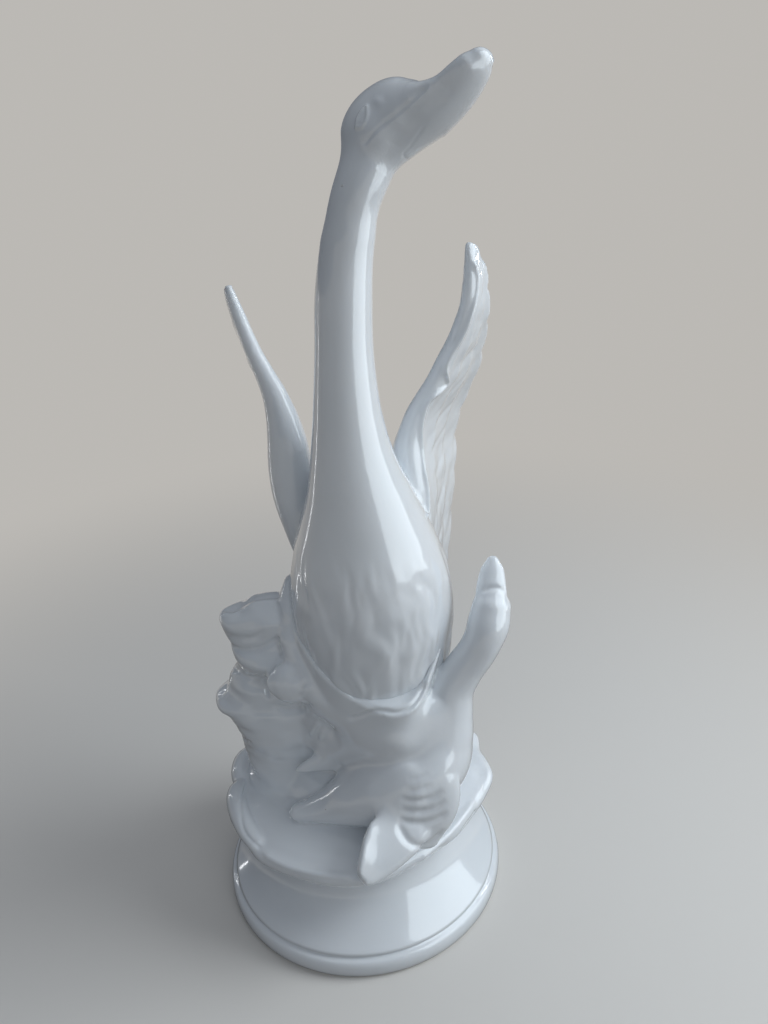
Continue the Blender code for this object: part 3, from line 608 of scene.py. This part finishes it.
def pedestal_profile():
    """Outer profile from the table up: a rounded foot band, a groove, and a flare up to a waist."""
    band = [(FOOT_RADIUS - FOOT_RING_WIDTH / 4, 0.0)]
    for a in np.radians(np.linspace(-FOOT_TURN, FOOT_TURN, FOOT_STEPS)):
        radius = FOOT_RADIUS - FOOT_BULGE * (1 - math.cos(a))
        band.append((radius, FOOT_HEIGHT * (1 + math.sin(a)) / 2))
    shoulder = FOOT_RADIUS - FOOT_BULGE
    low = FOOT_HEIGHT + GROOVE_HEIGHT
    groove = []
    for a in np.linspace(0, math.pi, GROOVE_STEPS)[1:]:
        radius = shoulder - GROOVE_DEPTH * math.sin(a * GROOVE_TURN)
        groove.append((radius, FOOT_HEIGHT + GROOVE_HEIGHT * a / math.pi))
    flare = []
    for share in np.linspace(0, 1, FLARE_STEPS)[1:]:
        widest = shoulder - GROOVE_DEPTH / 3
        radius = WAIST_RADIUS + (widest - WAIST_RADIUS) * (1 - share) ** FLARE_CURVE
        flare.append((radius, low + (WAIST_HEIGHT - low) * share))
    flare.append((WAIST_RADIUS + PLATE_OVERLAP, PEDESTAL_HEIGHT - GROUND_THICKNESS / 2))
    return band + groove + flare


def pedestal():
    """Turned pedestal, open below, with one wall's thickness left inside its outer profile."""
    outside = pedestal_profile()
    ring = FOOT_RADIUS - FOOT_RING_WIDTH
    top = PEDESTAL_HEIGHT - GROUND_THICKNESS - WALL
    inside = [(ring, 0.0)]
    for radius, height in outside:
        if FOOT_HEIGHT + GROOVE_HEIGHT <= height < top - WALL:
            inside.append((min(ring, radius - WALL), height))
    start = inside[-1]
    for a in np.linspace(0, math.pi / 2, HOLLOW_STEPS):
        radius = start[0] - (start[0] - HOLLOW_TOP_RADIUS) * (1 - math.cos(a))
        inside.append((radius, start[1] + (top - start[1]) * math.sin(a)))
    profile = np.array(inside[::-1] + outside)
    angle = np.linspace(0, 2 * math.pi, PEDESTAL_SIDES, endpoint=False)
    rings = []
    for radius, height in profile:
        level = np.full_like(angle, height)
        rings.append(np.stack([radius * np.cos(angle), radius * np.sin(angle), level], 1))
    return solid_from_rings("pedestal", rings, ((0, 0, top), (0, 0, profile[-1][1])))


def changed(solid, *modifiers):
    """The object with these modifiers applied, each given as a type and its settings."""
    for kind, settings in modifiers:
        modifier = solid.modifiers.new(kind.lower(), kind)
        for key, value in settings.items():
            setattr(modifier, key, value)
    graph = bpy.context.evaluated_depsgraph_get()
    made = bpy.data.meshes.new_from_object(solid.evaluated_get(graph))
    old = solid.data
    solid.modifiers.clear()
    solid.data = made
    bpy.data.meshes.remove(old)
    return solid


def fused(name, solids, voxel):
    """One smoothed skin over the solids."""
    whole = bmesh.new()
    for solid in solids:
        whole.from_mesh(solid.data)
        bpy.data.objects.remove(solid)
    data = bpy.data.meshes.new(name)
    whole.to_mesh(data)
    whole.free()
    skin = bpy.data.objects.new(name, data)
    bpy.context.scene.collection.objects.link(skin)
    return changed(
        skin,
        ("REMESH", {"mode": "VOXEL", "voxel_size": voxel * MM}),
        ("SMOOTH", {"factor": FUSE_FACTOR, "iterations": FUSE_PASSES}),
    )


def positions(solid):
    """The vertices' places in millimetres."""
    points = np.empty(len(solid.data.vertices) * 3, np.float32)
    solid.data.vertices.foreach_get("co", points)
    return points.reshape(-1, 3).astype(float) / MM


def normals(solid):
    """The vertices' normals."""
    found = np.empty(len(solid.data.vertices) * 3, np.float32)
    solid.data.vertices.foreach_get("normal", found)
    return found.reshape(-1, 3).astype(float)


def place_vertices(solid, points):
    """Move the vertices to these places in millimetres."""
    solid.data.vertices.foreach_set("co", (points * MM).astype(np.float32).ravel())
    solid.data.update()


def raise_surface(solid, height):
    """Move each vertex along its normal by its height in millimetres."""
    place_vertices(solid, positions(solid) + normals(solid) * height[:, None])


def refine(solid, inside):
    """Subdivide the edges whose two vertices are inside."""
    mesh = bmesh.new()
    mesh.from_mesh(solid.data)
    mesh.verts.ensure_lookup_table()
    edges = [edge for edge in mesh.edges if inside[edge.verts[0].index] and inside[edge.verts[1].index]]
    bmesh.ops.subdivide_edges(mesh, edges=edges, cuts=1, use_grid_fill=True)
    mesh.to_mesh(solid.data)
    mesh.free()
    solid.data.update()


def soften(solid, share, passes):
    """Smooth the vertices in proportion to their share, to leave a soft hollow where forms meet."""
    edges = np.empty(len(solid.data.edges) * 2, np.int32)
    solid.data.edges.foreach_get("vertices", edges)
    edges = edges.reshape(-1, 2)
    both = np.concatenate([edges, edges[:, ::-1]])
    both = both[share[both[:, 0]] > 0]
    count = np.bincount(both[:, 0], minlength=len(share))
    moving = np.nonzero(count)[0]
    points = positions(solid)
    for _ in range(passes):
        total = [np.bincount(both[:, 0], points[both[:, 1], k], len(share)) for k in range(3)]
        mean = np.stack(total, 1)[moving] / count[moving][:, None]
        points[moving] += SOFTEN_STEP * share[moving][:, None] * (mean - points[moving])
    place_vertices(solid, points)


def camera_turn():
    """The camera's rotation: its roll, then its tilt."""
    lean = Matrix.Rotation(math.radians(90 - CAMERA_TILT), 4, "X")
    return lean @ Matrix.Rotation(math.radians(CAMERA_ROLL), 4, "Z")


def traced(tree, pixels, width):
    """Points where a line of pixels meets the surface, and weights that fade towards the line's ends."""
    turn = camera_turn()
    found = []
    for across, down in through(pixels, PIXEL_STEPS):
        ray = Vector((across - FRAME_PIXELS[0] / 2, FRAME_PIXELS[1] / 2 - down, -FOCAL_PIXELS))
        hit = tree.ray_cast(Vector(CAMERA_PLACE), (turn @ ray).normalized())[0]
        if hit is not None:
            found.append(np.array(hit))
    if len(found) < 3:
        return None, None
    found = np.array(found)
    steps = np.linalg.norm(np.diff(found, axis=0), axis=1)
    run = np.concatenate([[0], np.cumsum(np.where(steps > LONGEST_STEP, 0.0, steps))])
    spots = np.arange(0, run[-1], LINE_STEP)
    line = np.stack([np.interp(spots, run, found[:, k]) for k in range(3)], 1)
    if np.linalg.norm(line[0] - line[-1]) < CLOSED_GAP:
        return line, np.ones(len(line))
    rank = np.arange(len(line))
    run_in = max(LINE_FADE, LINE_FADE_WIDTHS * width / LINE_STEP)
    return line, np.clip(np.minimum(rank, rank[::-1]) / run_in, 0, 1)


def line_height(points, line, weight, height, width):
    """Height that a pressed line gives at the points."""
    given = np.zeros(len(points))
    margin = LINE_REACH * width
    near = ((points > line.min(axis=0) - margin) & (points < line.max(axis=0) + margin)).all(axis=1)
    index = np.nonzero(near)[0]
    for block in np.array_split(index, max(1, len(index) * len(line) // DISTANCES_AT_ONCE)):
        apart = np.linalg.norm(points[block, None, :] - line[None], axis=2)
        nearest = apart.argmin(axis=1)
        share = np.exp(-((apart[np.arange(len(block)), nearest] / width) ** 2))
        given[block] = height * share * weight[nearest]
    return given


def press(solid, lines, mirror=None):
    """Press the lines into the surface, and their mirror image across a plane too if one is given."""
    points = positions(solid)
    tree = BVHTree.FromPolygons(points.tolist(), [tuple(p.vertices) for p in solid.data.polygons])
    total = np.zeros(len(points))
    for height, width, pixels in lines:
        line, weight = traced(tree, pixels, width)
        if line is None:
            print("no surface under the line that starts at", pixels[0])
            continue
        copies = [line]
        if mirror:
            place, normal = mirror
            copies.append(line - 2 * np.outer((line - place) @ normal, normal))
        for copy in copies:
            total += line_height(points, copy, weight, height, width)
    raise_surface(solid, total)


def wave(points, size, seed):
    """Smooth noise from -1 to 1 at the points, with a size in millimetres along each axis."""
    spots = points / np.array(size, float) + seed
    return np.array([noise.noise(Vector(spot)) for spot in spots])


def fade(values, low, high):
    """From 0 at low to 1 at high, smoothly."""
    share = np.clip((values - low) / (high - low), 0, 1)
    return share * share * (3 - 2 * share)


def between(values, rise, fall):
    """From 0 to 1 over the rise, and back to 0 over the fall."""
    return fade(values, *rise) * (1 - fade(values, *fall))


def axes_of(points):
    """The points' x, their y, and their height above the ground plate's top."""
    return points[:, 0], points[:, 1], points[:, 2] - PEDESTAL_HEIGHT


def breast_relief(points):
    """Soft upright feather streaks on the lower breast."""
    x, y, height = axes_of(points)
    x, y = x - BREAST_CENTRE[0], y - BREAST_CENTRE[1]
    angle = np.arctan2(x, -y)
    shown = between(height, BREAST_RISE, BREAST_FALL) * fade(np.cos(angle), *BREAST_SIDES)
    shown *= np.hypot(x, y) < BREAST_REACH
    relief = np.zeros(len(points))
    on = shown > 0
    flat = np.stack([angle[on] * BREAST_RADIUS, height[on], np.zeros(on.sum())], 1)
    bent = flat.copy()
    bent[:, 0] += STREAK_BEND * wave(flat, STREAK_BEND_SIZE, seed=1.3)
    streak = wave(bent, STREAK_SIZE, seed=3.1) + FINE_STREAKS * wave(bent, FINE_STREAK_SIZE, seed=7.7)
    relief[on] = shown[on] * BREAST_RELIEF * streak
    return relief


def feather_lumps(points):
    """Soft uneven lumps on the feathered faces of the raised wings."""
    x, y, height = axes_of(points)
    beside = np.maximum(fade(x, *LUMPS_RIGHT), fade(-x, *LUMPS_LEFT))
    shown = beside * fade(y, *LUMPS_BACK) * fade(height, *LUMPS_UP)
    relief = np.zeros(len(points))
    on = shown > LEAST_SHOWN
    relief[on] = shown[on] * LUMP_HEIGHT * wave(points[on], LUMP_SIZE, seed=2.6)
    return relief


def tail_relief(points):
    """Feathers side by side on the tail."""
    x, y, height = axes_of(points)
    shown = fade(y, *TAIL_BACK) * between(height, TAIL_RISE, TAIL_FALL)
    shown *= np.abs(x - TAIL_CENTRE) < TAIL_HALF_WIDTH
    feather = np.abs(np.sin(math.pi * (x - TAIL_CENTRE) / TAIL_FEATHER))
    return (feather - SCALLOP_LEVEL) * TAIL_RELIEF * shown


def large_goose():
    """The large goose as one skin, with its feathers and the lines of its wing, head and throat."""
    goose = fused("large_goose", [
        loft("breast", BREAST, sides=160, steps=16),
        loft("head", HEAD, side=HEAD_SIDE, sides=120, steps=16),
        loft("rump", RUMP),
        wing("right_wing", RIGHT_WING, (1, 0, 0), FEATHERS),
        wing("left_wing", LEFT_WING, (-1, 0, 0), FEATHERS),
    ], GOOSE_VOXEL)
    x, y, height = axes_of(positions(goose))
    throat = between(height, THROAT_RISE, THROAT_FALL) * (y < 0) * (x < THROAT_RIGHT)
    soften(goose, throat, THROAT_PASSES)
    points = positions(goose)
    raise_surface(goose, breast_relief(points) + feather_lumps(points) + tail_relief(points))
    press(goose, GOOSE_LINES)
    x, y, height = axes_of(positions(goose))
    refine(goose, (height > HEAD_BOTTOM) & (y < 0) & (x < HEAD_RIGHT))
    side = np.array(HEAD_SIDE) / np.linalg.norm(HEAD_SIDE)
    press(goose, HEAD_LINES, (on_ground(HEAD_MIDDLE), side))
    press(goose, THROAT_LINES)
    return goose


def rim_outline():
    """Points of the ground plate's rim: x, y and how far it rises."""
    outline = []
    for angle, stand_out, rise in RIM:
        a = math.radians(angle)
        radius = GROUND_RADIUS + stand_out
        outline.append((radius * math.cos(a), radius * math.sin(a), rise))
    return outline


def base_solids():
    """Ground plate, mound, rock, collar and small goose."""
    return [
        slab("ground", rim_outline(), 0.0, GROUND_THICKNESS, GROUND_EDGE, GROUND_CROWN),
        loft("mound", MOUND, domes=(0.0, 0.0)),
        loft("petal_back", PETAL_BACK),
        loft("petal_front", PETAL_FRONT),
        loft("rock", ROCK, domes=(0.0, 0.2)),
        loft("rock_knob", ROCK_KNOB, domes=(1.0, 0.6)),
        loft("rock_fold", ROCK_FOLD),
        loft("rock_shoulder", ROCK_SHOULDER),
        wing("collar", COLLAR, (0, -1, 0)),
        wing("collar_leaf", COLLAR_LEAF, (0, 0, 1)),
        loft("small_body", SMALL_BODY, side=(0, 1, 0)),
        loft("small_bill", SMALL_BILL, side=SMALL_BILL_SIDE),
        wing("small_near_wing", SMALL_NEAR_WING, (0, -1, 0.4)),
        wing("small_far_wing", SMALL_FAR_WING, (0, 1, 0.4)),
        loft("small_coverts", SMALL_COVERTS),
        loft("back_fill", BACK_FILL, side=(0, 1, 0)),
    ]


def rock_relief(points):
    """Soft uneven layers on the rock, left of the goose and behind the small one."""
    x, y, height = axes_of(points)
    left = fade(-x, *ROCK_LEFT) * fade(y, *ROCK_FRONT)
    shown = fade(height, *ROCK_UP) * np.maximum(left, fade(y, *ROCK_BACK))
    relief = np.zeros(len(points))
    on = shown > LEAST_SHOWN
    spots = points[on]
    layers = wave(spots, LAYER_SIZE, seed=5.2) + FINE_LAYERS * wave(spots, FINE_LAYER_SIZE, seed=9.4)
    relief[on] = shown[on] * ROCK_RELIEF * layers
    return relief


def share_in_zone(points, across, forwards, upwards):
    """From 0 outside a zone to 1 inside it."""
    x, y, height = axes_of(points)
    return between(x, *across) * between(-y, *forwards) * between(height, *upwards)


def rock_and_ground():
    """The ground plate, rock, collar and small goose as one skin, with their relief and lines."""
    base = fused("rock_ground_and_small_goose", base_solids(), BASE_VOXEL)
    points = positions(base)
    melted = np.maximum(share_in_zone(points, *SMALL_BACK), share_in_zone(points, *SMALL_WING_ROOT))
    soften(base, melted, SMALL_PASSES)
    raise_surface(base, rock_relief(positions(base)))
    press(base, ROCK_LINES + RIM_LINES + COLLAR_LINES + SMALL_WING_LINES + SMALL_BILL_LINES)
    return base


def triangles_of(piece):
    """How many triangles the piece has."""
    return sum(len(face.vertices) - 2 for face in piece.data.polygons)


def finished(piece):
    """The piece with its triangles brought under the limit and shaded smooth."""
    triangles = triangles_of(piece)
    if triangles > MOST_TRIANGLES:
        changed(piece, ("DECIMATE", {"ratio": MOST_TRIANGLES / triangles}))
    piece.data.shade_smooth()
    print(piece.name, "triangles", triangles_of(piece))
    return piece


def feed(tree, socket, source):
    """Link the socket to another node's output, or give it a value."""
    if isinstance(source, bpy.types.NodeSocket):
        tree.links.new(source, socket)
    else:
        socket.default_value = source


def node(tree, kind, inputs=None, **settings):
    """A new shader node with these settings, and with outputs or values fed into its inputs."""
    made = tree.nodes.new(kind)
    for key, value in settings.items():
        setattr(made, key, value)
    for key, source in (inputs or {}).items():
        feed(tree, made.inputs[key], source)
    return made


def ranged(tree, value, start, end, low=0.0, high=1.0, **settings):
    """Output that goes from low to high as the value goes from start to end."""
    inputs = {"Value": value, "From Min": start, "From Max": end, "To Min": low, "To Max": high}
    return node(tree, "ShaderNodeMapRange", inputs, **settings).outputs["Result"]


def mixed(tree, share, first, second):
    """Colour that goes from the first to the second as the share goes from 0 to 1."""
    inputs = {"Factor": share, "A": first, "B": second}
    return node(tree, "ShaderNodeMix", inputs, data_type="RGBA").outputs["Result"]


def new_material(name):
    """A material with its node tree and the shader in it."""
    material = bpy.data.materials.new(name)
    material.use_nodes = True
    return material, material.node_tree, material.node_tree.nodes["Principled BSDF"]


def porcelain():
    """White glaze: glossy, a little bluish where it pools, with a few fine specks and a bare foot."""
    material, tree, shader = new_material("white_glazed_porcelain")
    place = node(tree, "ShaderNodeTexCoord").outputs["Object"]
    cloud = node(tree, "ShaderNodeTexNoise", {"Vector": place, "Scale": POOL_SCALE, "Detail": POOL_DETAIL})
    pool = ranged(tree, cloud.outputs["Fac"], *POOL_RANGE, high=POOL_SHARE)
    dots = node(tree, "ShaderNodeTexVoronoi", {"Vector": place, "Scale": SPECK_SCALE})
    speck = ranged(tree, dots.outputs["Distance"], *SPECK_RANGE, high=SPECK_SHARE)
    split = node(tree, "ShaderNodeSeparateXYZ", {"Vector": place})
    bare = ranged(tree, split.outputs["Z"], *BARE_RANGE)
    colour = mixed(tree, speck, mixed(tree, pool, GLAZE, GLAZE_POOL), SPECK)
    skin = node(tree, "ShaderNodeTexNoise", {"Vector": place, "Scale": SKIN_SCALE, "Detail": SKIN_DETAIL})
    bump = node(tree, "ShaderNodeBump", {
        "Strength": SKIN_STRENGTH, "Distance": SKIN_DEPTH, "Height": skin.outputs["Fac"],
    })
    for key, source in {
        "Base Color": mixed(tree, bare, colour, BISQUE),
        "Roughness": ranged(tree, bare, 0.0, 1.0, GLAZE_ROUGHNESS, BARE_ROUGHNESS),
        "Normal": bump.outputs["Normal"],
        "IOR": GLAZE_IOR,
        "Coat Weight": 1.0,
        "Coat Roughness": COAT_ROUGHNESS,
        "Subsurface Weight": BENEATH_SHARE,
        "Subsurface Radius": BENEATH_RADIUS,
        "Subsurface Scale": BENEATH_DEPTH,
    }.items():
        feed(tree, shader.inputs[key], source)
    return material


def pale_ground():
    """Floor: a plain pale surface that blends into the backdrop's colour far from the object."""
    corners = [(x * FLOOR_REACH, y * FLOOR_REACH, 0) for x, y in ((-1, -1), (1, -1), (1, 1), (-1, 1))]
    floor = mesh_object("floor", corners, [[0, 1, 2, 3]])
    material, tree, shader = new_material("floor")
    path = node(tree, "ShaderNodeLightPath")
    colour = mixed(tree, path.outputs["Is Camera Ray"], FLOOR_IN_BOUNCE, FLOOR)
    feed(tree, shader.inputs["Base Color"], colour)
    feed(tree, shader.inputs["Roughness"], FLOOR_ROUGHNESS)
    place = node(tree, "ShaderNodeTexCoord")
    far = node(tree, "ShaderNodeVectorMath", {0: place.outputs["Object"]}, operation="LENGTH")
    blend = ranged(tree, far.outputs["Value"], *FLOOR_BLEND, interpolation_type="SMOOTHSTEP")
    seen = node(tree, "ShaderNodeMath", {
        0: path.outputs["Is Camera Ray"], 1: path.outputs["Is Glossy Ray"],
    }, operation="MAXIMUM")
    share = node(tree, "ShaderNodeMath", {0: blend, 1: seen.outputs["Value"]}, operation="MULTIPLY")
    glow = node(tree, "ShaderNodeEmission", {"Color": BACKDROP})
    mix = node(tree, "ShaderNodeMixShader", {
        "Fac": share.outputs["Value"], 1: shader.outputs["BSDF"], 2: glow.outputs["Emission"],
    })
    feed(tree, tree.nodes["Material Output"].inputs["Surface"], mix.outputs["Shader"])
    floor.data.materials.append(material)


def room():
    """Even pale light from all round, and the backdrop's colour where the camera sees it."""
    world = bpy.data.worlds.new("room")
    bpy.context.scene.world = world
    world.use_nodes = True
    tree = world.node_tree
    light = tree.nodes["Background"]
    feed(tree, light.inputs["Color"], ROOM_LIGHT)
    feed(tree, light.inputs["Strength"], ROOM_STRENGTH)
    path = node(tree, "ShaderNodeLightPath")
    shown = node(tree, "ShaderNodeBackground", {"Color": BACKDROP})
    mix = node(tree, "ShaderNodeMixShader", {
        "Fac": path.outputs["Is Camera Ray"], 1: light.outputs["Background"], 2: shown.outputs["Background"],
    })
    feed(tree, tree.nodes["World Output"].inputs["Surface"], mix.outputs["Shader"])


def lamp(name, place, target, width, height, power, colour, only_gloss):
    """Rectangular lamp that is seen in gloss and lights nothing, or the other way round."""
    data = bpy.data.lights.new(name, "AREA")
    data.shape = "RECTANGLE"
    data.size = width
    data.size_y = height
    data.energy = power
    data.color = colour
    made = bpy.data.objects.new(name, data)
    made.location = place
    made.rotation_euler = (Vector(target) - Vector(place)).to_track_quat("-Z", "Y").to_euler()
    made.visible_camera = False
    made.visible_glossy = only_gloss
    made.visible_diffuse = not only_gloss
    bpy.context.scene.collection.objects.link(made)


def camera():
    """Camera at the photo's place and angle."""
    data = bpy.data.cameras.new("camera")
    data.sensor_width = SENSOR
    data.lens = SENSOR * FOCAL_PIXELS / FRAME_PIXELS[1]
    data.clip_start = CLIP_START
    made = bpy.data.objects.new("camera", data)
    made.matrix_world = Matrix.Translation(Vector(CAMERA_PLACE) * MM) @ camera_turn()
    bpy.context.scene.collection.objects.link(made)
    bpy.context.scene.camera = made


glaze = porcelain()
for piece in (finished(large_goose()), finished(rock_and_ground()), finished(pedestal())):
    piece.data.materials.clear()
    piece.data.materials.append(glaze)
    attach(piece, "root")
    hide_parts("geese_figurine")
pale_ground()
room()
for settings in LAMPS:
    lamp(*settings)
camera()
bpy.context.scene.view_settings.view_transform = "Standard"
